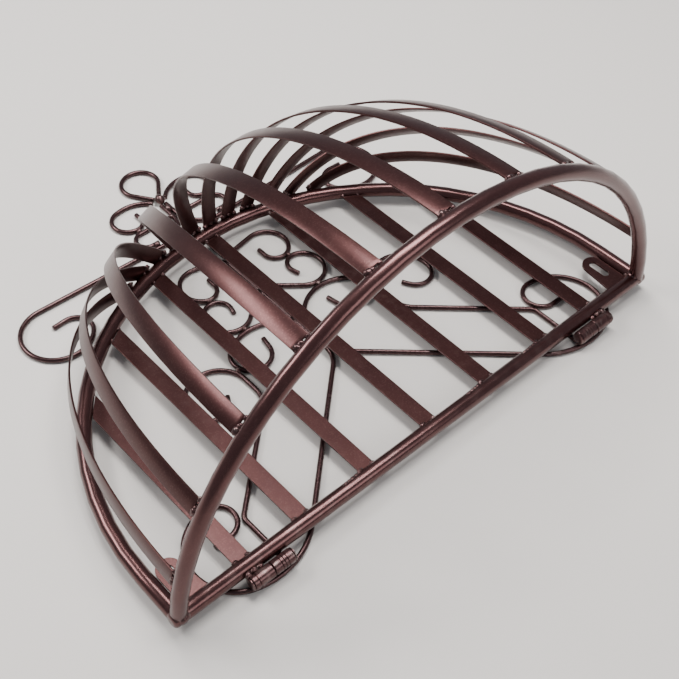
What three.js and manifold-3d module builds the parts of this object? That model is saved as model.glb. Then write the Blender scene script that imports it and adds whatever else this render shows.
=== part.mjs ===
// A half-round wall rack for bottles, in millimetres, lying on its back with its folding crest under it.
// A straight rail and a bent arch make the flat back. A second arch stands on the rail's ends as the rim.
// Flat slats close the back, and flat ribs curve from the rim down to the crown of the back arch.
// A crest of bent wires turns on two barrel hinges outside the rail: folded under the back, or stood up.
import * as THREE from "three";
import Module from "manifold-3d";
import { mergeVertices } from "three/addons/utils/BufferGeometryUtils.js";

const wasm = await Module();
wasm.setup();

// Driving dimensions
const cornerSpan = 456; // between the tube centres at the two corners
const tubeRadius = 6;
const tubeWall = 1;
const railOverhang = 6; // the rail runs this far past each corner
const gap = 0.3; // clearance between pieces that are welded or that turn
const archLeg = 36; // straight stretch of the back arch at each corner, before its half circle
const rimRise = 204.5;
const strapWidth = 13.5;
const strapThickness = 1.5;
const wireRadius = 2.25;
const crestLevel = -9.05; // height of the crest's wires against the rail's centre
const hingeY = -12.5;
const hingeZ = -1;
const barrelRadius = 5.4;
const boreRadius = 2.5;
const pinRadius = 2.2;
const pinHeadRadius = 5;
const pinHeadThickness = 1.2;
const hingeInner = 144.5; // distance of the hinge's inner end from the middle of the rail
const knuckleLength = 16.5;
const lugThickness = 2;

// Worked out from them
const halfSpan = cornerSpan / 2;
const railHalfLength = halfSpan + railOverhang;
const rimRadius = (rimRise ** 2 + halfSpan ** 2) / (2 * rimRise);
const rimCentreZ = rimRise - rimRadius;
const rimEndAngle = Math.asin(-rimCentreZ / rimRadius);

// Finish
const bronze = { color: 0x4a2b2a, roughness: 0.38, metalness: 0.85 };
const strapBronze = { color: 0x50302f, roughness: 0.34, metalness: 0.85 };
const wireBronze = { color: 0x42262a, roughness: 0.36, metalness: 0.85 };
const hingeBronze = { color: 0x5a3a36, roughness: 0.42, metalness: 0.9 };

const rack = new THREE.Group();
rack.name = "half_round_wall_rack";

function addPiece(name, geometry, finish) {
  const mesh = new THREE.Mesh(geometry, new THREE.MeshStandardMaterial(finish));
  mesh.name = name;
  rack.add(mesh);
}

// Solids for cutting and joining

function toSolid(geometry) {
  const bare = geometry.clone();
  bare.deleteAttribute("normal");
  bare.deleteAttribute("uv");
  const merged = mergeVertices(bare, 1e-4);
  return new wasm.Manifold(
    new wasm.Mesh({
      numProp: 3,
      vertProperties: new Float32Array(merged.attributes.position.array),
      triVerts: new Uint32Array(merged.index.array),
    }),
  );
}

function toGeometry(solid) {
  const mesh = solid.getMesh();
  const geometry = new THREE.BufferGeometry();
  geometry.setAttribute("position", new THREE.BufferAttribute(mesh.vertProperties, 3));
  geometry.setIndex(new THREE.BufferAttribute(mesh.triVerts, 1));
  geometry.computeVertexNormals();
  return geometry;
}

// A round section, with a bore when it is a tube. The flats lie outside the true circle's chord.
function roundSection(radius, bore, sides) {
  const ring = (size) =>
    Array.from({ length: sides }, (_, i) => {
      const angle = ((i + 0.5) * 2 * Math.PI) / sides;
      return new THREE.Vector2(size * Math.cos(angle), size * Math.sin(angle));
    });
  const section = new THREE.Shape(ring(radius));
  if (bore > 0) section.holes.push(new THREE.Path(ring(bore)));
  return section;
}

// A curve through given points, joined by straight lines, for sweeping a section along.
class PointPath extends THREE.Curve {
  constructor(points) {
    super();
    this.points = points;
  }

  getPoint(t, target = new THREE.Vector3()) {
    const place = t * (this.points.length - 1);
    const index = Math.min(Math.floor(place), this.points.length - 2);
    return target.lerpVectors(this.points[index], this.points[index + 1], place - index);
  }

  getPointAt(t, target) {
    return this.getPoint(t, target);
  }

  getTangentAt(t, target = new THREE.Vector3()) {
    const last = this.points.length - 1;
    const index = Math.round(t * last);
    const before = this.points[Math.max(index - 1, 0)];
    const after = this.points[Math.min(index + 1, last)];
    return target.subVectors(after, before).normalize();
  }
}

function sweep(points, radius, bore, sides) {
  return new THREE.ExtrudeGeometry(roundSection(radius, bore, sides), {
    steps: points.length - 1,
    bevelEnabled: false,
    extrudePath: new PointPath(points),
  });
}

// The three tubes of the frame

const railPoints = (reach) => [
  new THREE.Vector3(-reach, 0, 0),
  new THREE.Vector3(reach, 0, 0),
];

// A point of the back arch's half circle, or of one round it, by the angle from its crown
function archPoint(angle, radius, z) {
  return new THREE.Vector3(radius * Math.sin(angle), archLeg + radius * Math.cos(angle), z);
}

function archPoints(startY, steps) {
  const bend = Array.from({ length: steps + 1 }, (_, i) =>
    archPoint((Math.PI * i) / steps - Math.PI / 2, halfSpan, 0),
  );
  return [
    new THREE.Vector3(-halfSpan, startY, 0),
    ...bend,
    new THREE.Vector3(halfSpan, startY, 0),
  ];
}

function rimPoint(angle, radius) {
  return new THREE.Vector3(radius * Math.sin(angle), 0, rimCentreZ + radius * Math.cos(angle));
}

function rimPoints(steps) {
  const reach = Math.PI / 2 - rimEndAngle;
  return Array.from({ length: steps + 1 }, (_, i) =>
    rimPoint(-reach + (2 * reach * i) / steps, rimRadius),
  );
}

const tubeSides = 12;
const archSteps = 24;
const rimSteps = 22;
const cutRadius = tubeRadius + gap;
const railCutter = toSolid(sweep(railPoints(railHalfLength + 10), cutRadius, 0, tubeSides));
const archCutter = toSolid(sweep(archPoints(0, archSteps), cutRadius, 0, tubeSides));
const rimCutter = toSolid(sweep(rimPoints(rimSteps), cutRadius, 0, tubeSides));

const tubeBore = tubeRadius - tubeWall;
addPiece(
  "back_rail",
  sweep(railPoints(railHalfLength), tubeRadius, tubeBore, tubeSides),
  bronze,
);
addPiece(
  "back_arch",
  sweep(archPoints(cutRadius + gap, archSteps), tubeRadius, tubeBore, tubeSides),
  bronze,
);
const rimTube = toSolid(sweep(rimPoints(rimSteps), tubeRadius, tubeBore, tubeSides));
addPiece("rim_arch", toGeometry(rimTube.subtract(railCutter)), bronze);

// The flat slats of the back, cut to the tubes that they meet

const slatSpacing = 60.5;
const endSlatX = 172; // the outermost slats stand a little closer to their neighbours
const rightSlats = [slatSpacing, 2 * slatSpacing, endSlatX];
const slatPlaces = [...rightSlats.map((x) => -x).reverse(), 0, ...rightSlats];
slatPlaces.forEach((x, i) => {
  const length = archLeg + Math.sqrt(halfSpan ** 2 - x ** 2);
  const blank = new THREE.BoxGeometry(strapWidth, length, strapThickness);
  blank.translate(x, length / 2, 0);
  const slat = toSolid(blank).subtract(railCutter).subtract(archCutter);
  addPiece(`back_slat_${i + 1}`, toGeometry(slat), strapBronze);
});

// The ribs: each is a flat bar bent to a quarter oval, in the plane through its two ends along Y

const ribsPerSide = 5;
const ribRimStep = THREE.MathUtils.degToRad(14.7); // spacing of their upper ends round the rim
const ribRimShift = THREE.MathUtils.degToRad(-1.3); // all the upper ends sit a little to the left
const ribArchStep = 16; // spacing of the lower ends along the back arch, beside its crown
const ribArchSpread = 0.4; // the spacing opens out towards the sides
const ribArchShift = 6; // all the lower ends sit a little to the right
const ribFullness = 2.1; // 2 is a true ellipse, and more is squarer
const ribSeat = 2.5; // the bar's middle lies this far outside the tube's centre line
const ribFoot = 2.5; // and its lower end this far above the back arch's centre
const ribSteps = 14;

function ribGeometry(k) {
  const head = rimPoint(k * ribRimStep + ribRimShift, rimRadius + ribSeat);
  const archPlace = ribArchShift + k * ribArchStep + k * Math.abs(k) * ribArchSpread;
  const foot = archPoint(archPlace / halfSpan, halfSpan + ribSeat, ribFoot);
  const rise = new THREE.Vector3(head.x - foot.x, 0, head.z - foot.z);
  const reach = rise.length();
  const half = strapThickness / 2;
  const side = (offset) =>
    Array.from({ length: ribSteps + 1 }, (_, i) => {
      const angle = (i * Math.PI) / 2 / ribSteps;
      return new THREE.Vector2(
        (reach + offset) * Math.abs(Math.cos(angle)) ** (2 / ribFullness),
        (foot.y + offset) * Math.sin(angle) ** (2 / ribFullness),
      );
    });
  const outline = new THREE.Shape([...side(half), ...side(-half).reverse()]);
  const bar = new THREE.ExtrudeGeometry(outline, {
    depth: strapWidth,
    steps: 1,
    bevelEnabled: false,
  });
  bar.translate(0, 0, -strapWidth / 2);
  const up = rise.normalize();
  const along = new THREE.Vector3(0, 1, 0);
  const across = new THREE.Vector3().crossVectors(up, along);
  bar.applyMatrix4(new THREE.Matrix4().makeBasis(up, along, across));
  bar.translate(foot.x, 0, foot.z);
  return toGeometry(toSolid(bar).subtract(rimCutter).subtract(archCutter));
}

for (let k = -ribsPerSide; k <= ribsPerSide; k += 1) {
  addPiece(`rib_${k + ribsPerSide + 1}`, ribGeometry(k), strapBronze);
}

// The hanging lugs: flat teardrops in the corners of the back, each with a slot for a screw

const lugTipX = 212.4;
const lugTipY = 31;
const lugTipRadius = 9;
const lugFootX = 200;
const slotRadius = 3.3;
const slotBottomY = 19;

function lugGeometry(handed) {
  const outerX = lugTipX + lugTipRadius;
  const lean = Math.atan2(lugTipX - lugFootX, lugTipY - tubeRadius);
  const turnAt = Math.PI + Math.asin(lugTipRadius / Math.hypot(lugTipX - lugFootX, lugTipY)) - lean;
  const outline = new THREE.Shape();
  outline.moveTo(lugFootX, 0);
  outline.lineTo(outerX, 0);
  outline.absarc(lugTipX, lugTipY, lugTipRadius, 0, turnAt, false);
  const slot = new THREE.Path();
  slot.absarc(lugTipX, lugTipY, slotRadius, 0, Math.PI, false);
  slot.absarc(lugTipX, slotBottomY, slotRadius, Math.PI, 2 * Math.PI, false);
  outline.holes.push(slot);
  const plate = new THREE.ExtrudeGeometry(outline, {
    depth: lugThickness,
    bevelEnabled: false,
    curveSegments: 10,
  });
  plate.translate(0, 0, -lugThickness / 2);
  const right = toSolid(plate).subtract(railCutter);
  return toGeometry(handed > 0 ? right : right.mirror([1, 0, 0]));
}

// The barrel hinges: the outer knuckle is welded to the rail, the inner one carries the crest

function alongX(geometry, startX, y, z) {
  geometry.rotateY(Math.PI / 2);
  geometry.translate(startX, y, z);
  return geometry;
}

function knuckle(startX) {
  const ring = new THREE.ExtrudeGeometry(roundSection(barrelRadius, boreRadius, 16), {
    depth: knuckleLength,
    bevelEnabled: false,
  });
  return toSolid(alongX(ring, startX, hingeY, hingeZ));
}

// The short leaf that joins the outer knuckle to the rail
function hingeLeaf(startX) {
  const leafWidth = 8;
  const leafHeight = 3;
  const reach = -hingeY - boreRadius - 1;
  const leaf = new THREE.BoxGeometry(leafWidth, reach, leafHeight);
  leaf.translate(startX + knuckleLength - leafWidth / 2 - 1, -reach / 2, hingeZ);
  return toSolid(leaf).subtract(railCutter);
}

const knuckleGap = 0.5;
const hingeOuter = hingeInner + 2 * knuckleLength + knuckleGap;

function pinGeometry() {
  const shaftHalf = (hingeOuter - hingeInner) / 2 + gap;
  const end = shaftHalf + pinHeadThickness;
  const profile = [
    new THREE.Vector2(0, -end),
    new THREE.Vector2(pinHeadRadius, -end),
    new THREE.Vector2(pinHeadRadius, -shaftHalf),
    new THREE.Vector2(pinRadius, -shaftHalf),
    new THREE.Vector2(pinRadius, shaftHalf),
    new THREE.Vector2(pinHeadRadius, shaftHalf),
    new THREE.Vector2(pinHeadRadius, end),
    new THREE.Vector2(0, end),
  ];
  const pin = new THREE.LatheGeometry(profile, 16);
  pin.rotateZ(-Math.PI / 2);
  pin.translate((hingeInner + hingeOuter) / 2, hingeY, hingeZ);
  return pin;
}

for (const [side, handed] of [["left", -1], ["right", 1]]) {
  const placed = (solid) => toGeometry(handed > 0 ? solid : solid.mirror([1, 0, 0]));
  const outerStart = hingeInner + knuckleLength + knuckleGap;
  const fixed = knuckle(outerStart).add(hingeLeaf(outerStart));
  addPiece(`hanging_lug_${side}`, lugGeometry(handed), strapBronze);
  addPiece(`rail_knuckle_${side}`, placed(fixed), hingeBronze);
  addPiece(`crest_knuckle_${side}`, placed(knuckle(hingeInner)), hingeBronze);
  addPiece(`hinge_pin_${side}`, placed(toSolid(pinGeometry())), hingeBronze);
}

// The crest: wires bent cold, each given as a bending list. A wire starts at a place and a heading,
// then each move feeds it straight on, runs it straight to a mark, or bends it round a former.
// A positive angle turns to the left. Each list is the right-hand wire, and the left one mirrors it.

// The formers, as radii of the wire's centre line
const peg = 9; // the tightest bends
const smallEye = 11; // the ends of the two curls beside the middle
const eye = 14; // the ends of the three big scrolls, and the clover's side lobes
const cloverFormer = 16; // the top of the clover, and the hook
const curlFormer = 18.5; // the two curls beside the middle
const elbow = 25; // elbows, and the inner scroll
const sideFormer = 28; // the side scroll, and the bend into each side lobe
const lowerFormer = 36; // the lower scroll, and the bend into the hook
const sweepFormer = 60; // the sweep under the hinge

// The marks
const wirePitch = 2 * wireRadius + gap; // between two wires that are welded side by side
const middleX = wirePitch / 2; // the two halves meet down the middle
const besideX = middleX + wirePitch; // what is welded to them starts here
const slope = 47.5; // degrees between the long diagonals and the upright wires
const elbowY = 115; // the outer wire leaves the middle
const sweepX = 116; // and its diagonal ends
const sweepTurn = 60; // degrees of the sweep after it
const hingeWireX = 147.5; // the inner wire stands on the hinge
const innerElbowX = 77.5; // and its diagonal ends
const armY = 285; // the arms leave the middle
const sideScrollX = 148; // and end in the side scrolls

const feed = (length) => ({ length });
const runToX = (x) => ({ x });
const runToY = (y) => ({ y });
const bend = (radius, degrees) => ({ radius, degrees });
const bendStep = 20; // degrees between the stations of a bend

function wirePoints(start, heading, moves) {
  const place = new THREE.Vector2(...start);
  const points = [place.clone()];
  let direction = THREE.MathUtils.degToRad(heading);
  const stepOn = (length) => {
    place.x += length * Math.cos(direction);
    place.y += length * Math.sin(direction);
    points.push(place.clone());
  };
  for (const move of moves) {
    if (!move.radius) {
      const across = (move.x - place.x) / Math.cos(direction);
      const along = (move.y - place.y) / Math.sin(direction);
      stepOn(move.length ?? (move.x === undefined ? along : across));
      continue;
    }
    const steps = Math.ceil(Math.abs(move.degrees) / bendStep);
    const turn = THREE.MathUtils.degToRad(move.degrees) / steps;
    const chord = 2 * move.radius * Math.sin(Math.abs(turn) / 2);
    for (let i = 0; i < steps; i += 1) {
      direction += turn / 2;
      stepOn(chord);
      direction += turn / 2;
    }
  }
  return points;
}

const wireSides = 8;

function wireGeometry(points, handed) {
  const route = points.map((p) => new THREE.Vector3(handed * p.x, p.y, crestLevel));
  return sweep(route, wireRadius, 0, wireSides);
}

// The outer wire is bent from a point of the middle, first up and then down.
const middle = [middleX, 180];
const upperEnd = wirePoints(middle, 90, [
  runToY(230), bend(eye, -80), feed(16), bend(curlFormer, -155), bend(smallEye, -125), feed(8),
]);
const lowerEnd = wirePoints(middle, -90, [
  runToY(elbowY), bend(elbow, slope), runToX(sweepX), bend(sweepFormer, sweepTurn),
  bend(lowerFormer, 270 - slope - sweepTurn), bend(eye, 180), feed(13),
]);

const crestWires = {
  // From the upper curl, down the middle, out to the corner and round the big lower scroll
  crest_outer_wire: [...upperEnd.reverse(), ...lowerEnd.slice(1)],
  // From under the hinge, along the outer wire, to a scroll that curls outwards
  crest_inner_wire: wirePoints([hingeWireX, -8.6], 90, [
    runToY(31), bend(peg, slope), runToX(innerElbowX), bend(elbow, -slope), feed(12),
    bend(elbow, -195), bend(eye, -135), feed(7),
  ]),
  // The lower of the two curls beside the middle
  crest_curl_wire: wirePoints([besideX, 192], -40, [
    runToX(27), bend(curlFormer, 190), bend(smallEye, 135), feed(6),
  ]),
  // The hook under it
  crest_hook_wire: wirePoints([besideX, 152], 40, [
    runToX(14), bend(lowerFormer, -70), feed(4), bend(cloverFormer, -230), feed(10),
  ]),
  // The long arm, from the foot of the clover out to the side scroll
  crest_arm_wire: wirePoints([middleX, armY + elbow + 16], -90, [
    runToY(armY + elbow), bend(elbow, 92), runToX(sideScrollX), bend(sideFormer, -240),
    bend(eye, -125), feed(11),
  ]),
  // The small loop between the arm and the clover
  crest_loop_wire: wirePoints([30, armY + 6], 0, [
    feed(6), bend(peg, 180), runToX(middleX + wireRadius + 2 * gap),
  ]),
  // The side lobe of the clover
  crest_lobe_wire: wirePoints([6.3, 332.2], 45, [
    feed(4), bend(sideFormer, -50), feed(4), bend(eye, -175), bend(peg, -90), feed(7),
  ]),
};

for (const [name, points] of Object.entries(crestWires)) {
  addPiece(`${name}_left`, wireGeometry(points, -1), wireBronze);
  addPiece(`${name}_right`, wireGeometry(points, 1), wireBronze);
}

const lobeSpread = 55; // degrees, the heading of the top lobe's two legs
const lobeLeg = 18.5;
const lobeAngle = THREE.MathUtils.degToRad(lobeSpread);
const lobeFootX = cloverFormer * Math.sin(lobeAngle) - lobeLeg * Math.cos(lobeAngle);
const cloverTop = wirePoints([lobeFootX, 335.8], lobeSpread, [
  feed(lobeLeg), bend(cloverFormer, 360 - 2 * lobeSpread), feed(lobeLeg),
]);
addPiece("crest_top_lobe_wire", wireGeometry(cloverTop, 1), wireBronze);
const stem = wirePoints([0, 241], 90, [runToY(297)]);
addPiece("crest_stem_wire", wireGeometry(stem, 1), wireBronze);

// The part's origin is the middle of its box, on the surface that the crest's wires rest on.
rack.updateMatrixWorld(true);
const box = new THREE.Box3().setFromObject(rack);
rack.position.set(-(box.min.x + box.max.x) / 2, -(box.min.y + box.max.y) / 2, -box.min.z);

export default rack;
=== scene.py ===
# %% [markdown]
# # A half-round wall rack in bronze-coated metal
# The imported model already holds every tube, strap and wire in its place, in metres.
# This lesson dresses it: the round bars are bent again with a finer section, the flat bars get
# rolled edges, every joint gets its weld, and all of it gets one satin metallic coat.

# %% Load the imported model
import math

import bmesh
import bpy
from mathutils import Matrix, Vector, noise


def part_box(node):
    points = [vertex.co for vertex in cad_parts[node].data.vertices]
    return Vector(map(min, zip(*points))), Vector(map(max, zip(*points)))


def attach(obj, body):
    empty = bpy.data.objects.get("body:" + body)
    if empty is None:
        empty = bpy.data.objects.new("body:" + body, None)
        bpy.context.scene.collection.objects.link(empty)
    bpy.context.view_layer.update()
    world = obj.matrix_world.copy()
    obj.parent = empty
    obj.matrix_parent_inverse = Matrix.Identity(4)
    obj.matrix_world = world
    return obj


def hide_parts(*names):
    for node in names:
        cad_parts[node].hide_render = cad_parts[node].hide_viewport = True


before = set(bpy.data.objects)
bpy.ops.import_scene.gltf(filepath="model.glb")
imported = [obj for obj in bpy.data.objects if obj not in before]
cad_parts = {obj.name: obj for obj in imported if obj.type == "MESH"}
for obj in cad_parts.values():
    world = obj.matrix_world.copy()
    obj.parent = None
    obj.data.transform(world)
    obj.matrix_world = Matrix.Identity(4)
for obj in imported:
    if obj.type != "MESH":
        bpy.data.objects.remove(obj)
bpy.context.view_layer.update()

# %% [markdown]
# The rack is easiest to think of in a bench frame in millimetres. Its origin is the middle of the
# back rail's centre line, +Y runs to the crown of the back arch, and +Z runs up to the rim.
# One matrix takes a piece from the bench to its place, so every object can stay at the world origin.

# %% The bench frame
rail_low, rail_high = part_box("back_rail")
MM = 0.001
RAIL_MIDDLE = (rail_low + rail_high) / 2
FROM_BENCH = Matrix.Translation(RAIL_MIDDLE) @ Matrix.Scale(MM, 4)
print("the rail's middle is at", [round(v, 4) for v in RAIL_MIDDLE])


def on_bench(x, y, z):
    return FROM_BENCH @ Vector((x, y, z))


# %% [markdown]
# The real finish is a dark bronze coat with a fine metallic fleck over welded steel. It could be one
# flat colour, but then the tubes would look like plastic. Three patterns share the work instead:
# broad clouds where the coat went on thicker, a fleck under a millimetre across, and an orange peel
# that softens the highlights. They live in one node group, and each metal feeds it its own colours.

# %% The coat's pattern as a node group
coat = bpy.data.node_groups.new("bronze_coat_pattern", "ShaderNodeTree")
for socket_name, kind, start in (
    ("Thin Coat", "NodeSocketColor", (0.12, 0.05, 0.045, 1)),
    ("Thick Coat", "NodeSocketColor", (0.05, 0.02, 0.02, 1)),
    ("Fleck Colour", "NodeSocketColor", (0.4, 0.22, 0.2, 1)),
    ("Worn Colour", "NodeSocketColor", (0.45, 0.36, 0.33, 1)),
    ("Fleck Amount", "NodeSocketFloat", 0.3),
    ("Wear Amount", "NodeSocketFloat", 0.3),
    ("Smoothness", "NodeSocketFloat", 0.3),
    ("Peel", "NodeSocketFloat", 0.2),
):
    made = coat.interface.new_socket(socket_name, in_out="INPUT", socket_type=kind)
    made.default_value = start
for socket_name, kind in (
    ("Color", "NodeSocketColor"),
    ("Roughness", "NodeSocketFloat"),
    ("Normal", "NodeSocketVector"),
):
    coat.interface.new_socket(socket_name, in_out="OUTPUT", socket_type=kind)

FLECKS_PER_METRE = 1300
CLOUDS_PER_METRE = 30
PEEL_PER_METRE = 420
SMEARS_PER_METRE = 140


def add_node(tree, kind, x, y, **settings):
    node = tree.nodes.new(kind)
    node.location = (x, y)
    for key, value in settings.items():
        setattr(node, key, value)
    return node


def add_noise(tree, where, scale, detail, x, y):
    node = add_node(tree, "ShaderNodeTexNoise", x, y)
    node.inputs["Scale"].default_value = scale
    node.inputs["Detail"].default_value = detail
    tree.links.new(where, node.inputs["Vector"])
    return node.outputs["Fac"]


def add_ramp(tree, value, low, high, x, y):
    node = add_node(tree, "ShaderNodeMapRange", x, y)
    node.inputs["From Min"].default_value = low
    node.inputs["From Max"].default_value = high
    tree.links.new(value, node.inputs["Value"])
    return node.outputs["Result"]


def add_math(tree, operation, a, b, x, y):
    node = add_node(tree, "ShaderNodeMath", x, y, operation=operation)
    for socket, value in zip(node.inputs, (a, b)):
        if isinstance(value, (int, float)):
            socket.default_value = value
        else:
            tree.links.new(value, socket)
    return node.outputs["Value"]


def add_mix(tree, factor, a, b, x, y):
    node = add_node(tree, "ShaderNodeMix", x, y, data_type="RGBA")
    tree.links.new(factor, node.inputs["Factor"])
    tree.links.new(a, node.inputs["A"])
    tree.links.new(b, node.inputs["B"])
    return node.outputs["Result"]


given = add_node(coat, "NodeGroupInput", -900, 0).outputs
result = add_node(coat, "NodeGroupOutput", 900, 0).inputs
place = add_node(coat, "ShaderNodeTexCoord", -900, -400).outputs["Object"]

clouds = add_noise(coat, place, CLOUDS_PER_METRE, 4, -650, 200)
cloudy = add_ramp(coat, clouds, 0.35, 0.68, -450, 200)
base = add_mix(coat, cloudy, given["Thin Coat"], given["Thick Coat"], -200, 200)

cells = add_node(coat, "ShaderNodeTexVoronoi", -650, -50, feature="F1")
cells.inputs["Scale"].default_value = FLECKS_PER_METRE
coat.links.new(place, cells.inputs["Vector"])
flake = add_node(coat, "ShaderNodeSeparateColor", -450, -50)
coat.links.new(cells.outputs["Color"], flake.inputs["Color"])
bright = add_ramp(coat, flake.outputs["Red"], 0.72, 1.0, -250, -50)
flecked = add_math(coat, "MULTIPLY", bright, given["Fleck Amount"], -50, -50)
speckled = add_mix(coat, flecked, base, given["Fleck Colour"], 150, 200)

smears = add_noise(coat, place, SMEARS_PER_METRE, 6, -650, -350)
edges = add_node(coat, "ShaderNodeNewGeometry", -650, -550).outputs["Pointiness"]
sharp = add_ramp(coat, edges, 0.53, 0.6, -450, -550)
rubbed = add_ramp(coat, smears, 0.5, 0.66, -450, -350)
worn = add_math(coat, "MULTIPLY", sharp, rubbed, -250, -450)
wear = add_math(coat, "MULTIPLY", worn, given["Wear Amount"], -50, -450)
coat.links.new(add_mix(coat, wear, speckled, given["Worn Colour"], 400, 200), result["Color"])

spread = add_math(coat, "SUBTRACT", smears, 0.5, -50, -250)
swing = add_math(coat, "MULTIPLY", spread, 0.08, 150, -250)
rough = add_math(coat, "ADD", given["Smoothness"], swing, 350, -250)
coat.links.new(rough, result["Roughness"])

peel = add_noise(coat, place, PEEL_PER_METRE, 3, -650, -750)
grain = add_math(coat, "MULTIPLY", bright, 0.15, -250, -750)
height = add_math(coat, "ADD", peel, grain, 0, -750)
bump = add_node(coat, "ShaderNodeBump", 350, -650)
bump.inputs["Distance"].default_value = 0.0004
coat.links.new(given["Peel"], bump.inputs["Strength"])
coat.links.new(height, bump.inputs["Height"])
coat.links.new(bump.outputs["Normal"], result["Normal"])
print("the coat pattern has", len(coat.nodes), "nodes")

# %% [markdown]
# Each kind of bar gets its own material from that group. The flat straps took the coat evenly and
# look a little redder, the wires are darker, and the welds are rougher and show more bare metal.
# The shader stays outside the group: a metallic coat whose highlight keeps a touch of the colour.

# %% The metals
def make_metal(name, thin, thick, fleck, smoothness, peel, wear, metallic, coat_weight):
    metal = bpy.data.materials.new(name)
    metal.use_nodes = True
    tree = metal.node_tree
    shader = tree.nodes["Principled BSDF"]
    pattern = add_node(tree, "ShaderNodeGroup", -300, 200, node_tree=coat)
    pattern.inputs["Thin Coat"].default_value = (*thin, 1)
    pattern.inputs["Thick Coat"].default_value = (*thick, 1)
    pattern.inputs["Fleck Amount"].default_value = fleck
    pattern.inputs["Smoothness"].default_value = smoothness
    pattern.inputs["Peel"].default_value = peel
    pattern.inputs["Wear Amount"].default_value = wear
    tree.links.new(pattern.outputs["Color"], shader.inputs["Base Color"])
    tree.links.new(pattern.outputs["Roughness"], shader.inputs["Roughness"])
    tree.links.new(pattern.outputs["Normal"], shader.inputs["Normal"])
    shader.inputs["Metallic"].default_value = metallic
    shader.inputs["Coat Weight"].default_value = coat_weight
    shader.inputs["Coat Roughness"].default_value = 0.25
    return metal


METALS = {
    "tube_bronze": make_metal(
        "tube_bronze", thin=(0.085, 0.029, 0.028), thick=(0.066, 0.022, 0.022),
        fleck=0.07, smoothness=0.24, peel=0.03, wear=0.3,
        metallic=0.8, coat_weight=0.4,
    ),
    "strap_bronze": make_metal(
        "strap_bronze", thin=(0.06, 0.02, 0.019), thick=(0.049, 0.016, 0.016),
        fleck=0.06, smoothness=0.31, peel=0.03, wear=0.06,
        metallic=0.8, coat_weight=0.12,
    ),
    "wire_bronze": make_metal(
        "wire_bronze", thin=(0.052, 0.019, 0.02), thick=(0.038, 0.014, 0.015),
        fleck=0.07, smoothness=0.27, peel=0.05, wear=0.4,
        metallic=0.8, coat_weight=0.3,
    ),
    "barrel_bronze": make_metal(
        "barrel_bronze", thin=(0.085, 0.036, 0.036), thick=(0.058, 0.024, 0.025),
        fleck=0.1, smoothness=0.3, peel=0.1, wear=0.5,
        metallic=0.8, coat_weight=0.25,
    ),
    "pin_bronze": make_metal(
        "pin_bronze", thin=(0.095, 0.04, 0.04), thick=(0.065, 0.027, 0.028),
        fleck=0.1, smoothness=0.3, peel=0.1, wear=0.6,
        metallic=0.8, coat_weight=0.25,
    ),
    "weld_bronze": make_metal(
        "weld_bronze", thin=(0.085, 0.036, 0.036), thick=(0.045, 0.019, 0.02),
        fleck=0.2, smoothness=0.28, peel=0.35, wear=0.8,
        metallic=0.8, coat_weight=0.3,
    ),
}
print("metals:", ", ".join(METALS))

# %% [markdown]
# Every finished bmesh goes through the same door: loose ends are merged, faces are turned outwards,
# the bench matrix is applied, and the new object rides on its body and names its material slot.

# %% Turning a bmesh into a piece
SMOOTH_BELOW = math.radians(38)


def finish_piece(name, bm, body, metal, replaces=()):
    bmesh.ops.remove_doubles(bm, verts=bm.verts, dist=0.001)
    bmesh.ops.recalc_face_normals(bm, faces=bm.faces)
    bmesh.ops.transform(bm, matrix=FROM_BENCH, verts=bm.verts)
    mesh = bpy.data.meshes.new(name)
    bm.to_mesh(mesh)
    bm.free()
    for face in mesh.polygons:
        face.use_smooth = True
    mesh.set_sharp_from_angle(angle=SMOOTH_BELOW)
    piece = bpy.data.objects.new(name, mesh)
    bpy.context.scene.collection.objects.link(piece)
    mesh.materials.append(METALS[metal])
    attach(piece, body)
    if replaces:
        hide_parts(*replaces)
    return piece


# %% [markdown]
# A wire bender only knows two moves: feed the bar straight on, or bend it to a radius through an
# angle. bmesh has the same two: an extruded ring that is moved, and a spin. So each round bar is
# written as a bending list, and the section is carried along it ring by ring. A straight can also
# run to a mark on the bench, and trace() works out how long that makes it.

# %% Feeding and bending a round bar
BEND_STEP = math.radians(6)


def feed(length):
    return ("feed", length, 0)


def bend(radius, degrees):
    return ("bend", radius, math.radians(degrees))


def run_to_x(x):
    return ("x", x, 0)


def run_to_y(y):
    return ("y", y, 0)


def trace(start, heading, moves):
    """Where a bending list ends, its last heading, and its moves with every run as a feed."""
    spot = Vector(start)
    direction = math.radians(heading)
    plain = []
    for move, size, turn in moves:
        way = Vector((math.cos(direction), math.sin(direction)))
        if move == "bend":
            inward = Vector((-way.y, way.x)) * math.copysign(size, turn)
            spot = spot + inward - Matrix.Rotation(turn, 2) @ inward
            direction += turn
            plain.append((move, size, turn))
            continue
        length = size
        if move == "x":
            length = (size - spot.x) / way.x
        if move == "y":
            length = (size - spot.y) / way.y
        spot = spot + way * length
        plain.append(feed(length))
    return tuple(spot), math.degrees(direction), plain


def backwards(start, heading, moves):
    """The same bar, bent from its other end."""
    end, last_heading, plain = trace(start, heading, moves)
    return end, last_heading + 180, [(move, size, -turn) for move, size, turn in reversed(plain)]


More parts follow.
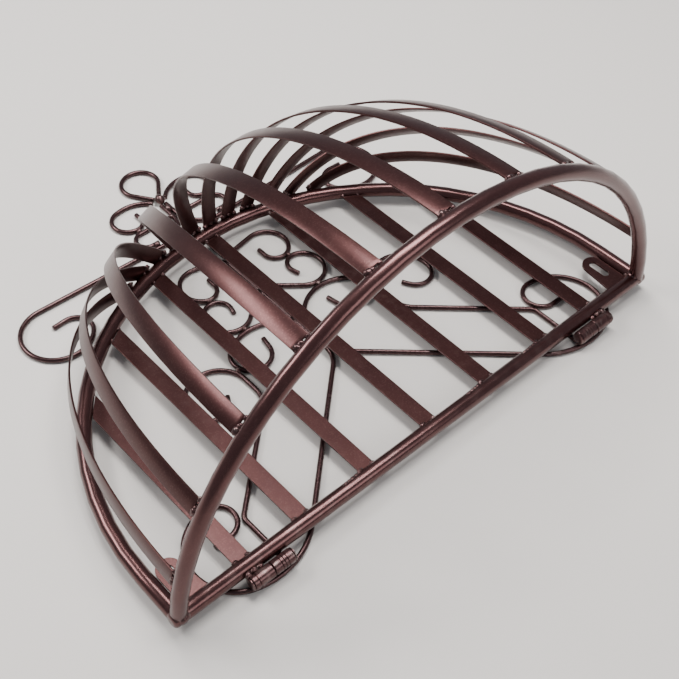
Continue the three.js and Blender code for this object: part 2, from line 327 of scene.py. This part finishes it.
def bend_bar(radius, sides, start, heading, moves, end_rounding):
    bm = bmesh.new()
    direction = math.radians(heading)
    spot = Vector((start[0], start[1], 0))
    stand = Matrix.Translation(spot) @ Matrix.Rotation(direction, 4, "Z")
    stand = stand @ Matrix.Rotation(math.pi / 2, 4, "Y")
    bmesh.ops.create_circle(bm, cap_ends=True, segments=sides, radius=radius, matrix=stand)
    ring = list(bm.edges)
    for move, size, turn in moves:
        if move == "feed":
            grown = bmesh.ops.extrude_edge_only(bm, edges=ring)["geom"]
            step = Vector((math.cos(direction), math.sin(direction), 0)) * size
            moved = [v for v in grown if isinstance(v, bmesh.types.BMVert)]
            bmesh.ops.translate(bm, verts=moved, vec=step)
            spot += step
        else:
            side = math.copysign(1, turn)
            inward = Vector((-math.sin(direction), math.cos(direction), 0)) * side
            centre = spot + inward * size
            grown = bmesh.ops.spin(
                bm, geom=ring, cent=centre, axis=(0, 0, 1), angle=turn,
                steps=max(2, round(abs(turn) / BEND_STEP)), use_duplicate=False,
            )["geom_last"]
            spot = centre + Matrix.Rotation(turn, 3, "Z") @ (spot - centre)
            direction += turn
        ring = [e for e in grown if isinstance(e, bmesh.types.BMEdge)]
    bmesh.ops.edgeloop_fill(bm, edges=ring)
    rims = [e for e in bm.edges if any(len(f.verts) > 4 for f in e.link_faces)]
    bmesh.ops.bevel(
        bm, geom=rims, offset=end_rounding, offset_type="OFFSET", affect="EDGES",
        segments=3, profile=0.5, material=-1,
    )
    return bm


# %% [markdown]
# The frame is three tubes. The back rail is straight, with its ends closed by domed plugs. The back
# arch is a short leg, a half circle and another leg. The rim is one long arc that stands on the
# rail's ends, so it is bent flat on the bench and then stood up by a quarter turn about X.

# %% The three tubes
HALF_SPAN = 228
TUBE_RADIUS = 5.9
TUBE_SIDES = 28
ARCH_LEG = 36
RIM_RISE = 204.5
RIM_RADIUS = (RIM_RISE**2 + HALF_SPAN**2) / (2 * RIM_RISE)
RIM_CENTRE_Z = RIM_RISE - RIM_RADIUS
RIM_DIP = math.degrees(math.asin(-RIM_CENTRE_Z / RIM_RADIUS))
RAIL_REACH = 234
RAIL_PLUG_ROUNDING = 2.6
TUBE_END_ROUNDING = 0.5
ARCH_START_Y = 2  # the legs stop inside the corner weld

rail = bend_bar(
    TUBE_RADIUS, TUBE_SIDES, (-RAIL_REACH, 0), 0, [feed(2 * RAIL_REACH)], RAIL_PLUG_ROUNDING
)
finish_piece("rail_tube", rail, "basket", "tube_bronze", ["back_rail"])
leg = feed(ARCH_LEG - ARCH_START_Y)
back = bend_bar(
    TUBE_RADIUS, TUBE_SIDES, (-HALF_SPAN, ARCH_START_Y), 90,
    [leg, bend(HALF_SPAN, -180), leg], TUBE_END_ROUNDING,
)
finish_piece("back_arch_tube", back, "basket", "tube_bronze", ["back_arch"])
rim = bend_bar(
    TUBE_RADIUS, TUBE_SIDES, (-HALF_SPAN, 0), 90 - RIM_DIP,
    [bend(RIM_RADIUS, 2 * RIM_DIP - 180)], TUBE_END_ROUNDING,
)
bmesh.ops.rotate(rim, cent=(0, 0, 0), matrix=Matrix.Rotation(math.pi / 2, 3, "X"), verts=rim.verts)
finish_piece("rim_arch_tube", rim, "basket", "tube_bronze", ["rim_arch"])
print("the rim's radius is", round(RIM_RADIUS, 1), "mm")

# %% [markdown]
# The slats and the two hanging lugs are already the right shape: flat bar and flat plate, cut to the
# tubes. They stay, and two modifiers give them the soft edge of rolled bar. Weld joins the loose
# triangles first, because a bevel can't follow an edge whose two faces don't share it.

# %% Slats and lugs keep their solids
EDGE_ROUND = 0.00035


def soften_edges(node, width):
    weld = node.modifiers.new("join_faces", "WELD")
    weld.merge_threshold = 1e-6
    rounding = node.modifiers.new("rolled_edge", "BEVEL")
    rounding.width = width
    rounding.segments = 2
    rounding.limit_method = "ANGLE"
    rounding.angle_limit = math.radians(35)
    rounding.harden_normals = True


kept = [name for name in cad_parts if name.startswith(("back_slat_", "hanging_lug_"))]
for name in kept:
    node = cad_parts[name]
    soften_edges(node, EDGE_ROUND)
    node.data.materials.clear()
    node.data.materials.append(METALS["strap_bronze"])
print(len(kept), "flat pieces keep their solids")

# %% [markdown]
# A rib is a length of flat bar bent to a quarter oval: square to the rim where it starts, and lying
# on the crown of the back arch where it ends. A grid is its flat blank. Each row of the grid is
# moved to its place on the oval, then the sheet is given its thickness and its edges are rounded.

# %% The eleven ribs
RIBS_PER_SIDE = 5
RIB_RIM_STEP = math.radians(14.7)
RIB_RIM_SHIFT = math.radians(-1.3)
RIB_ARCH_STEP = 16
RIB_ARCH_SPREAD = 0.4
RIB_ARCH_SHIFT = 6
RIB_POWER = 2 / 2.1
RIB_SEAT = 2.5
STRAP_WIDTH = 13.5
STRAP_THICKNESS = 1.5
RIB_ROWS = 56
UP_Y = Vector((0, 1, 0))


def rib_lie(k):
    """The foot, the rise and the width direction of rib number k from the middle."""
    rim_angle = k * RIB_RIM_STEP + RIB_RIM_SHIFT
    rim_reach = RIM_RADIUS + RIB_SEAT
    head = Vector((rim_reach * math.sin(rim_angle), 0, RIM_CENTRE_Z + rim_reach * math.cos(rim_angle)))
    arch_place = RIB_ARCH_SHIFT + k * RIB_ARCH_STEP + k * abs(k) * RIB_ARCH_SPREAD
    arch_angle = arch_place / HALF_SPAN
    arch_reach = HALF_SPAN + RIB_SEAT
    foot = Vector((
        arch_reach * math.sin(arch_angle), ARCH_LEG + arch_reach * math.cos(arch_angle), RIB_SEAT
    ))
    rise = Vector((head.x - foot.x, 0, head.z - foot.z))
    return foot, rise, rise.normalized().cross(UP_Y)


def rib_point(k, angle, across):
    foot, rise, width_way = rib_lie(k)
    spot = Vector((foot.x, 0, foot.z)) + rise * math.cos(angle) ** RIB_POWER
    return spot + UP_Y * foot.y * math.sin(angle) ** RIB_POWER + width_way * across


def make_rib(k):
    bm = bmesh.new()
    bmesh.ops.create_grid(bm, x_segments=2, y_segments=RIB_ROWS, size=0.5)
    for v in bm.verts:
        share = min(max(v.co.y + 0.5, 0.012), 0.998)
        v.co = rib_point(k, share * math.pi / 2, v.co.x * STRAP_WIDTH)
    bmesh.ops.recalc_face_normals(bm, faces=bm.faces)
    sheet = list(bm.faces)
    bmesh.ops.solidify(bm, geom=sheet, thickness=STRAP_THICKNESS)
    bmesh.ops.recalc_face_normals(bm, faces=bm.faces)
    corners = [e for e in bm.edges if len(e.link_faces) == 2 and e.calc_face_angle() > 1.2]
    bmesh.ops.bevel(
        bm, geom=corners, offset=0.35, offset_type="OFFSET", affect="EDGES",
        segments=2, profile=0.5, material=-1,
    )
    return bm


for k in range(-RIBS_PER_SIDE, RIBS_PER_SIDE + 1):
    number = k + RIBS_PER_SIDE + 1
    finish_piece(f"rib_bar_{number}", make_rib(k), "basket", "strap_bronze", [f"rib_{number}"])
print(2 * RIBS_PER_SIDE + 1, "ribs bent")

# %% [markdown]
# The crest is 4.5 mm wire, bent cold round a few formers, so its left half mirrors its right half.
# The formers' sizes come back again and again: one makes the ends of all the big scrolls, one both
# curls beside the middle. The straights run to a few marks that all the wires share.

# %% The formers and the marks
WIRE_RADIUS = 2.08
WIRE_SIDES = 14
CREST_LEVEL = -9.05
WIRE_END = 0.5
PEG = 9  # the tightest bends
SMALL_EYE = 11  # the ends of the two curls beside the middle
EYE_FORMER = 14  # the ends of the big scrolls, and the clover's side lobes
CLOVER_FORMER = 16  # the top of the clover, and the hook
CURL_FORMER = 18.5  # the two curls beside the middle
ELBOW = 25  # elbows, and the inner scroll
SIDE_FORMER = 28  # the side scroll, and the bend into each side lobe
LOWER_FORMER = 36  # the lower scroll, and the bend into the hook
SWEEP_FORMER = 60  # the sweep under the hinge
WIRE_PITCH = 4.8  # between two wires that are welded side by side
MIDDLE_X = WIRE_PITCH / 2
BESIDE_X = MIDDLE_X + WIRE_PITCH
SLOPE = 47.5  # degrees between the long diagonals and the upright wires
ELBOW_Y = 115  # the outer wire leaves the middle
SWEEP_X = 116  # and its diagonal ends
SWEEP_TURN = 60
HINGE_WIRE_X = 147.5  # the inner wire stands on the hinge
INNER_ELBOW_X = 77.5  # and its diagonal ends
ARM_Y = 285  # the arms leave the middle
SIDE_SCROLL_X = 148  # and end in the side scrolls
LOOP_END_X = 5.25

# %% The crest's wires
MIDDLE = (MIDDLE_X, 180)
upper_end, upper_heading, upper_moves = backwards(MIDDLE, 90, [
    run_to_y(230), bend(EYE_FORMER, -80), feed(16), bend(CURL_FORMER, -155), bend(SMALL_EYE, -125),
    feed(8),
])
CREST_WIRES = {
    "outer": (upper_end, upper_heading, [
        *upper_moves, run_to_y(ELBOW_Y), bend(ELBOW, SLOPE), run_to_x(SWEEP_X),
        bend(SWEEP_FORMER, SWEEP_TURN), bend(LOWER_FORMER, 270 - SLOPE - SWEEP_TURN),
        bend(EYE_FORMER, 180), feed(13),
    ]),
    "inner": ((HINGE_WIRE_X, -8.6), 90, [
        run_to_y(31), bend(PEG, SLOPE), run_to_x(INNER_ELBOW_X), bend(ELBOW, -SLOPE), feed(12),
        bend(ELBOW, -195), bend(EYE_FORMER, -135), feed(7),
    ]),
    "curl": ((BESIDE_X, 192), -40, [
        run_to_x(27), bend(CURL_FORMER, 190), bend(SMALL_EYE, 135), feed(6),
    ]),
    "hook": ((BESIDE_X, 152), 40, [
        run_to_x(14), bend(LOWER_FORMER, -70), feed(4), bend(CLOVER_FORMER, -230), feed(10),
    ]),
    "arm": ((MIDDLE_X, ARM_Y + ELBOW + 16), -90, [
        run_to_y(ARM_Y + ELBOW), bend(ELBOW, 92), run_to_x(SIDE_SCROLL_X), bend(SIDE_FORMER, -240),
        bend(EYE_FORMER, -125), feed(11),
    ]),
    "loop": ((30, ARM_Y + 6), 0, [feed(6), bend(PEG, 180), run_to_x(LOOP_END_X)]),
    "lobe": ((6.3, 332.2), 45, [
        feed(4), bend(SIDE_FORMER, -50), feed(4), bend(EYE_FORMER, -175), bend(PEG, -90), feed(7),
    ]),
}


def lay_wire(start, heading, moves):
    plain_moves = trace(start, heading, moves)[2]
    bm = bend_bar(WIRE_RADIUS, WIRE_SIDES, start, heading, plain_moves, WIRE_END)
    bmesh.ops.translate(bm, verts=bm.verts, vec=(0, 0, CREST_LEVEL))
    return bm


def mirror_over(bm):
    bmesh.ops.scale(bm, vec=(-1, 1, 1), verts=bm.verts)
    bmesh.ops.reverse_faces(bm, faces=bm.faces)
    return bm


for label, (start, heading, moves) in CREST_WIRES.items():
    node = f"crest_{label}_wire"
    right = lay_wire(start, heading, moves)
    finish_piece(f"{label}_scroll_right", right, "crest", "wire_bronze", [f"{node}_right"])
    left = mirror_over(lay_wire(start, heading, moves))
    finish_piece(f"{label}_scroll_left", left, "crest", "wire_bronze", [f"{node}_left"])
LOBE_SPREAD = 55
LOBE_LEG = 18.5
lobe_angle = math.radians(LOBE_SPREAD)
lobe_foot_x = CLOVER_FORMER * math.sin(lobe_angle) - LOBE_LEG * math.cos(lobe_angle)
top_lobe = lay_wire((lobe_foot_x, 335.8), LOBE_SPREAD, [
    feed(LOBE_LEG), bend(CLOVER_FORMER, 360 - 2 * LOBE_SPREAD), feed(LOBE_LEG),
])
finish_piece("top_lobe_scroll", top_lobe, "crest", "wire_bronze", ["crest_top_lobe_wire"])
stem = lay_wire((0, 241), 90, [run_to_y(297)])
finish_piece("stem_wire", stem, "crest", "wire_bronze", ["crest_stem_wire"])
print(2 * len(CREST_WIRES) + 2, "wires bent")

# %% [markdown]
# Each hinge is a small barrel in two halves on one pin. The half that is welded to the rail stands
# outside, next to the corner; the half that carries the crest stands inside. Both are short thick
# rings, so a circle is spun up as a ring by bridging an outer and an inner wall.

# %% The hinge barrels and their pins
HINGE_Y = -12.5
HINGE_Z = -1
BARREL_RADIUS = 5.35
BORE_RADIUS = 2.5
BARREL_SIDES = 32
HINGE_INNER = 144.5
KNUCKLE_LENGTH = 16.5
KNUCKLE_GAP = 0.5
LIE_ALONG_X = Matrix.Rotation(math.pi / 2, 4, "Y")


def ring_loop(bm, x, radius):
    spot = Matrix.Translation((x, HINGE_Y, HINGE_Z)) @ LIE_ALONG_X
    made = bmesh.ops.create_circle(bm, segments=BARREL_SIDES, radius=radius, matrix=spot)
    return list({e for v in made["verts"] for e in v.link_edges})


def make_knuckle(start_x, grooves):
    """A ring whose outer wall dips at each groove, as a turned or rolled barrel does."""
    bm = bmesh.new()
    end_x = start_x + KNUCKLE_LENGTH
    profile = [(start_x, BORE_RADIUS), (start_x, BARREL_RADIUS - 0.5), (start_x + 0.5, BARREL_RADIUS)]
    for groove in grooves:
        at = start_x + groove
        profile += [(at - 0.35, BARREL_RADIUS), (at, BARREL_RADIUS - 0.45), (at + 0.35, BARREL_RADIUS)]
    profile += [(end_x - 0.5, BARREL_RADIUS), (end_x, BARREL_RADIUS - 0.5), (end_x, BORE_RADIUS)]
    loops = [ring_loop(bm, x, radius) for x, radius in profile]
    for first, second in zip(loops, loops[1:] + loops[:1]):
        bmesh.ops.bridge_loops(bm, edges=first + second)
    return bm


LEAF_SIZE = (9, 7, 3.2)
LEAF_MIDDLE_Y = -6.5
LEAF_INSET = 6
LEAF_ROUNDING = 1


def make_leaf(start_x):
    leaf = bmesh.new()
    bmesh.ops.create_cube(leaf, size=1)
    bmesh.ops.scale(leaf, vec=LEAF_SIZE, verts=leaf.verts)
    middle = (start_x + KNUCKLE_LENGTH - LEAF_INSET, LEAF_MIDDLE_Y, HINGE_Z)
    bmesh.ops.translate(leaf, vec=middle, verts=leaf.verts)
    bmesh.ops.bevel(
        leaf, geom=list(leaf.edges), offset=LEAF_ROUNDING, offset_type="OFFSET", affect="EDGES",
        segments=3, profile=0.5, material=-1,
    )
    return leaf


PIN_RADIUS = 2.1
PIN_CLEARANCE = 0.3
HEAD_RADIUS = 4.85
# Half of a riveted head, as steps out from its inner face and the radius at each
HEAD_PROFILE = ((0, 4.3), (0.3, HEAD_RADIUS), (0.8, HEAD_RADIUS), (1.2, 4.2), (1.2, 0.8))


def make_pin():
    """A rod with a flat riveted head at each end, turned from one profile."""
    bm = bmesh.new()
    start = HINGE_INNER - PIN_CLEARANCE
    end = HINGE_INNER + 2 * KNUCKLE_LENGTH + KNUCKLE_GAP + PIN_CLEARANCE
    profile = [(start - step, radius) for step, radius in reversed(HEAD_PROFILE)]
    profile += [(start, PIN_RADIUS), (end, PIN_RADIUS)]
    profile += [(end + step, radius) for step, radius in HEAD_PROFILE]
    loops = [ring_loop(bm, x, radius) for x, radius in profile]
    for first, second in zip(loops, loops[1:]):
        bmesh.ops.bridge_loops(bm, edges=first + second)
    for cap in (loops[0], loops[-1]):
        bmesh.ops.edgeloop_fill(bm, edges=cap)
    return bm


for side in ("left", "right"):
    turn = mirror_over if side == "left" else lambda bm: bm
    inner = turn(make_knuckle(HINGE_INNER, (5.5, 8, 10.5)))
    finish_piece(f"crest_barrel_{side}", inner, "crest", "barrel_bronze", [f"crest_knuckle_{side}"])
    outer_start = HINGE_INNER + KNUCKLE_LENGTH + KNUCKLE_GAP
    outer = turn(make_knuckle(outer_start, (12.5,)))
    finish_piece(f"rail_barrel_{side}", outer, "basket", "barrel_bronze", [f"rail_knuckle_{side}"])
    leaf = turn(make_leaf(outer_start))
    finish_piece(f"rail_leaf_{side}", leaf, "basket", "weld_bronze")
    finish_piece(
        f"pin_{side}", turn(make_pin()), "basket", "pin_bronze", [f"hinge_pin_{side}"]
    )
print("two hinges on one axis at y", HINGE_Y, "mm")

# %% [markdown]
# The joints are stick welds under the coat: small rounded lumps, never twice the same. A bead starts
# as an icosphere, is stretched along the joint, and its surface is pushed in and out by smooth
# noise that reads the bead's place, so every bead differs and each run gives the same ones.

# %% Weld beads
BEAD_ROUGHNESS = 0.22


def add_bead(bm, spot, size, along=Vector((1, 0, 0)), stretch=1.0):
    seat = along.to_track_quat("X", "Z").to_matrix().to_4x4()
    scaled = Matrix.Diagonal((size * stretch, size, size * 0.9, 1))
    lie = Matrix.Translation(spot) @ seat @ scaled
    made = bmesh.ops.create_icosphere(bm, subdivisions=3, radius=1, matrix=lie)["verts"]
    for v in made:
        way = v.co - spot
        lump = noise.noise(v.co * 0.55 / max(size, 1) * 2) + 0.5 * noise.noise(v.co * 1.3)
        v.co = spot + way * (1 + BEAD_ROUGHNESS * lump)


def finish_beads(name, beads, body):
    bm = bmesh.new()
    for spot, size, along, stretch in beads:
        add_bead(bm, Vector(spot), size, Vector(along), stretch)
    return finish_piece(name, bm, body, "weld_bronze")


corner_count = 0
for side, handed in (("left", -1), ("right", 1)):
    at = handed * HALF_SPAN
    finish_beads(f"corner_weld_{side}", [
        ((at - handed * 1.9, 0, 0), 6.7, (1, 0, 0), 1.05),
        ((at - handed * 5.5, 0.5, 5.5), 2.6, (0, 1, 0), 1.6),
        ((at - handed * 1, 6.2, 2.5), 2.8, (1, 0, 0), 1.6),
        ((at - handed * 5, 6, 0), 2.6, (0, 0, 1), 1.3),
    ], "basket")
    corner_count += 1
print(corner_count, "corners welded")

# %% [markdown]
# A rib is held by a bead on the lower edge of its bar where it meets the rim, and by one on each
# side of its foot at the crown. A slat has a bead on each side at the arch; at the rail its weld
# was ground nearly flush, which leaves a rough bright scar beside some of the slats.

# %% Beads on the ribs
for k in range(-RIBS_PER_SIDE, RIBS_PER_SIDE + 1):
    number = k + RIBS_PER_SIDE + 1
    foot, rise, width_way = rib_lie(k)
    out = rise.normalized()
    edge = 0.5 * STRAP_WIDTH
    beads = []
    for across, size in ((edge - 3.2, 2.7), (edge - 6, 2.0), (1.2 - edge, 1.6)):
        start = rib_point(k, 0.018, across)
        beads.append((start, size, width_way, 1.25))
    for across, size in ((edge - 1, 1.9), (1 - edge, 1.9), (0, 1.6)):
        end = rib_point(k, math.pi / 2 * 0.985, across)
        beads.append((end + out * -0.5, size, width_way, 1.3))
    finish_beads(f"rib_weld_{number}", beads, "basket")
print("ribs welded at", 2 * (2 * RIBS_PER_SIDE + 1), "ends")

# %% Beads on the slats
SLAT_SPACING = 60.5
END_SLAT_X = 172
RIGHT_SLATS = (SLAT_SPACING, 2 * SLAT_SPACING, END_SLAT_X)
SLAT_PLACES = (*(-x for x in reversed(RIGHT_SLATS)), 0, *RIGHT_SLATS)
SCARRED = {3: -1, 5: -1, 6: -1}


def arch_y(x):
    return ARCH_LEG + math.sqrt(HALF_SPAN**2 - x**2)


for number, x in enumerate(SLAT_PLACES, start=1):
    beads = []
    for across in (-5.4, 5.4):
        edge_y = arch_y(x + across) - 6.2
        beads.append(((x + across, edge_y, 0.4), 2.0, (x, arch_y(x) - ARCH_LEG, 0), 1.2))
    beads.append(((x - 5.2, 6.6, 0.3), 1.5, (1, 0, 0), 1.8))
    beads.append(((x + 5.2, 6.6, 0.3), 1.4, (1, 0, 0), 1.6))
    if number in SCARRED:
        way = SCARRED[number]
        for step in range(5):
            along = x + way * (9 + 3.4 * step)
            beads.append(((along, 3.6 - 0.25 * step, 4.2 + 0.2 * step), 1.35, (1, 0.1, 0), 1.9))
    finish_beads(f"slat_weld_{number}", beads, "basket")
print(len(SLAT_PLACES), "slats welded at both ends")

# %% [markdown]
# The crest's wires are joined wherever two of them touch, and by a bigger knot where the clover's
# lobes come together. The hinge side has its own lumps: on the rail by the outer knuckle, and
# under the inner knuckle, where the inner wire starts.

# %% Beads on the crest and the hinges
CREST_BOTTOM = CREST_LEVEL - WIRE_RADIUS
CREST_JOINTS = {
    "middle": ((0, 160, 2.6), (0, 228, 2.6), (0, 196, 2.2)),
    "clover": ((0, 331, 4.2), (0, 318, 3.0), (0, 299, 2.8)),
    "right": (
        (4.8, 192, 2.6), (4.8, 152, 2.6), (38, 168.6, 2.4), (40.8, 209.3, 2.3), (68.3, 139, 2.6),
        (34, 288.2, 2.9), (4, 309, 2.4), (35, 311.9, 2.5), (147.5, -9.6, 3.2), (146.5, -12.8, 2.6),
    ),
}


def crest_beads(joints, handed, stretch):
    """Beads at the wires' level, raised where a big one would hang below them."""
    return [
        ((handed * x, y, max(CREST_LEVEL, CREST_BOTTOM + 1.15 * size)), size, (0, 1, 0), stretch)
        for x, y, size in joints
    ]


for group in ("middle", "clover"):
    beads = crest_beads(CREST_JOINTS[group], 1, 1.3)
    finish_beads(f"crest_weld_{group}", beads, "crest")
for side, handed in (("left", -1), ("right", 1)):
    beads = crest_beads(CREST_JOINTS["right"], handed, 1.0)
    finish_beads(f"crest_weld_{side}", beads, "crest")

for side, handed in (("left", -1), ("right", 1)):
    outer_end = HINGE_INNER + 2 * KNUCKLE_LENGTH
    beads = [
        ((handed * (outer_end - 1), -7.2, 2.2), 2.6, (1, 0, 0), 1.2),
        ((handed * (outer_end - 6), -6.8, 2.4), 2.0, (1, 0, 0), 1.5),
        ((handed * (outer_end - 11), -6.6, 2.0), 1.6, (1, 0, 0), 1.5),
    ]
    finish_beads(f"hinge_weld_{side}", beads, "basket")
print("crest and hinges welded")

# %% [markdown]
# The rack lies on a plain pale floor. A soft light overhead gives the long highlight on the rail,
# and one behind on the left gives the rim's. A weak one in front lifts the near faces, and the
# world fills the rest, so no surface falls to black.

# %% Floor, light and world
def make_floor():
    bm = bmesh.new()
    bmesh.ops.create_grid(bm, x_segments=1, y_segments=1, size=6)
    mesh = bpy.data.meshes.new("floor")
    bm.to_mesh(mesh)
    bm.free()
    floor = bpy.data.objects.new("floor", mesh)
    bpy.context.scene.collection.objects.link(floor)
    floor.location.z = -0.0001
    pale = bpy.data.materials.new("pale_floor")
    pale.use_nodes = True
    pale.node_tree.nodes["Principled BSDF"].inputs["Base Color"].default_value = (0.72, 0.69, 0.66, 1)
    pale.node_tree.nodes["Principled BSDF"].inputs["Roughness"].default_value = 0.7
    mesh.materials.append(pale)


make_floor()


def add_softbox(name, spot, aim, size, power, colour):
    lamp = bpy.data.lights.new(name, "AREA")
    lamp.shape = "RECTANGLE"
    lamp.size, lamp.size_y = size
    lamp.energy = power
    lamp.color = colour
    box = bpy.data.objects.new(name, lamp)
    bpy.context.scene.collection.objects.link(box)
    box.location = spot
    box.rotation_mode = "QUATERNION"
    box.rotation_quaternion = (Vector(aim) - Vector(spot)).to_track_quat("-Z", "Y")


add_softbox("overhead_softbox", (0.3, 0.15, 1.5), (0, 0, 0), (1.1, 0.45), 34, (1, 0.97, 0.95))
add_softbox("back_left_softbox", (-0.75, 0.95, 1.1), (0, 0, 0.1), (0.9, 0.35), 20, (1, 0.96, 0.94))
add_softbox("front_softbox", (0.2, -1.5, 0.9), (0, 0, 0.1), (1.0, 0.7), 8, (1, 0.96, 0.94))
world = bpy.data.worlds.new("studio")
bpy.context.scene.world = world
world.use_nodes = True
world.node_tree.nodes["Background"].inputs["Color"].default_value = (0.62, 0.68, 0.74, 1)
world.node_tree.nodes["Background"].inputs["Strength"].default_value = 0.42

# %% [markdown]
# The camera looks down on the open mouth from the left, at just under fifty degrees, with a slight
# roll. Its place is given on the same bench frame as the rack.

# %% Camera
EYE = on_bench(-411.8, -342.3, 691.4)
AIM = on_bench(4.9, 106.8, 0)
ROLL = math.radians(1.23)
SENSOR = 36
FOCAL_IN_WIDTHS = 1.7875

lens = bpy.data.cameras.new("camera")
lens.sensor_width = SENSOR
lens.lens = SENSOR * FOCAL_IN_WIDTHS
camera = bpy.data.objects.new("camera", lens)
bpy.context.scene.collection.objects.link(camera)
camera.rotation_mode = "QUATERNION"
look = (AIM - EYE).to_track_quat("-Z", "Y")
camera.matrix_world = Matrix.Translation(EYE) @ look.to_matrix().to_4x4() @ Matrix.Rotation(ROLL, 4, "Z")
bpy.context.scene.camera = camera
print("the camera stands", round((AIM - EYE).length, 3), "m from its aim")

# %% The end of the script
bpy.context.view_layer.update()
